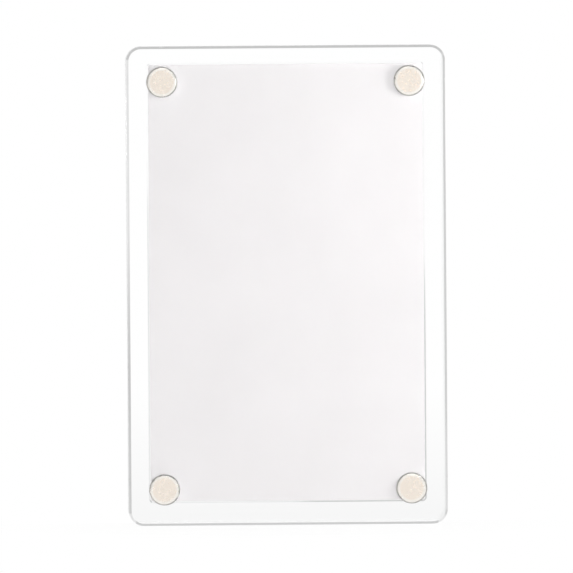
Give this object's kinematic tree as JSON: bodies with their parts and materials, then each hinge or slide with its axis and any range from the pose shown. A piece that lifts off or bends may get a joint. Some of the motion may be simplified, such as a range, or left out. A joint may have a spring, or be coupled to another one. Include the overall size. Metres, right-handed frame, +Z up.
{
  "type": "magnetic photo frame",
  "caption": "Clear two-plate acrylic photo frame that closes on a small instant print with round corner magnets and stands on its bottom edge or clings to steel.",
  "frame": {"origin": "on the surface that the frame stands on, under the middle of the joint between the plates", "axes": "+Z up along the frame's height, +Y from the front face to the back face, +X to the right seen from the front"},
  "size_m": [0.0628, 0.01, 0.0944],
  "materials": {
    "acrylic": "polished",
    "print_paper": "satin",
    "nickel": "satin",
    "adhesive": "gloss"
  },
  "bodies": {
    "back": {"back_plate": "acrylic", "back_magnet_bottom_left": "nickel", "back_magnet_bottom_right": "nickel", "back_magnet_top_left": "nickel", "back_magnet_top_right": "nickel", "back_glue_bottom_left": "adhesive", "back_glue_bottom_right": "adhesive", "back_glue_top_left": "adhesive", "back_glue_top_right": "adhesive"},
    "front": {"front_plate": "acrylic", "front_magnet_bottom_left": "nickel", "front_magnet_bottom_right": "nickel", "front_magnet_top_left": "nickel", "front_magnet_top_right": "nickel", "front_glue_bottom_left": "adhesive", "front_glue_bottom_right": "adhesive", "front_glue_top_left": "adhesive", "front_glue_top_right": "adhesive"},
    "print": {"photo_insert": "print_paper"}
  },
  "joints": [
    {"name": "front_pull_off", "type": "slide", "parent": "back", "child": "front", "axis": [0, -1, 0], "range_m": [0, 0.04]},
    {"name": "print_lift_out", "type": "slide", "parent": "back", "child": "print", "axis": [0, -1, 0], "range_m": [0, 0.02]}
  ],
  "couplings": [
    {"joint": "print_lift_out", "follows": "front_pull_off", "ratio": 0.5}
  ]
}
